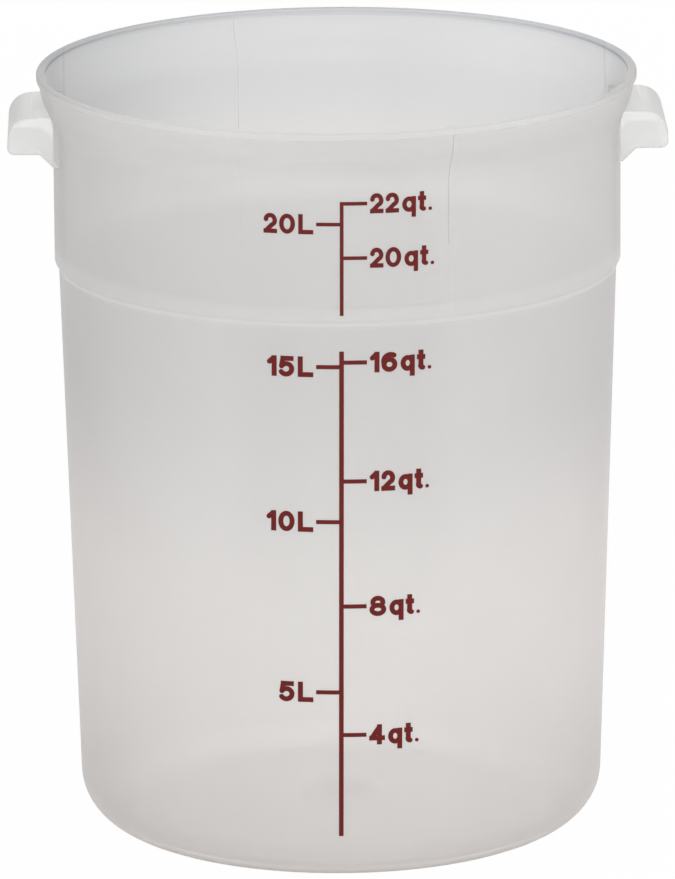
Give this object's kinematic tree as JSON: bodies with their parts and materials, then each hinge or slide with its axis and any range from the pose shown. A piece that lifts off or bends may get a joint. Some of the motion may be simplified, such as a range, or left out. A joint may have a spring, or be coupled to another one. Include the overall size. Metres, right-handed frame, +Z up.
{
  "type": "dough proofing container",
  "caption": "Tall round frosted tub with a wider upper band, two moulded-in hood handles near the lip and a printed quart and litre fill scale.",
  "frame": {"origin": "centre of the foot ring, on the surface that the tub stands on", "axes": "+Z up along the tub's axis, handles along +X and -X, fill scale facing -Y"},
  "size_m": [0.328, 0.2988, 0.385],
  "materials": {
    "frosted_polypropylene": "translucent natural polypropylene, frosted and slightly glossy",
    "red_ink": "dark red screen-printed ink, satin"
  },
  "bodies": {
    "root": {"tub": "frosted_polypropylene", "handle_left": "frosted_polypropylene", "handle_right": "frosted_polypropylene", "scale_line_upper": "red_ink", "scale_line_lower": "red_ink", "label_22_quarts": "red_ink", "label_20_quarts": "red_ink", "label_16_quarts": "red_ink", "label_12_quarts": "red_ink", "label_8_quarts": "red_ink", "label_4_quarts": "red_ink", "label_20_litres": "red_ink", "label_15_litres": "red_ink", "label_10_litres": "red_ink", "label_5_litres": "red_ink"}
  },
  "joints": []
}
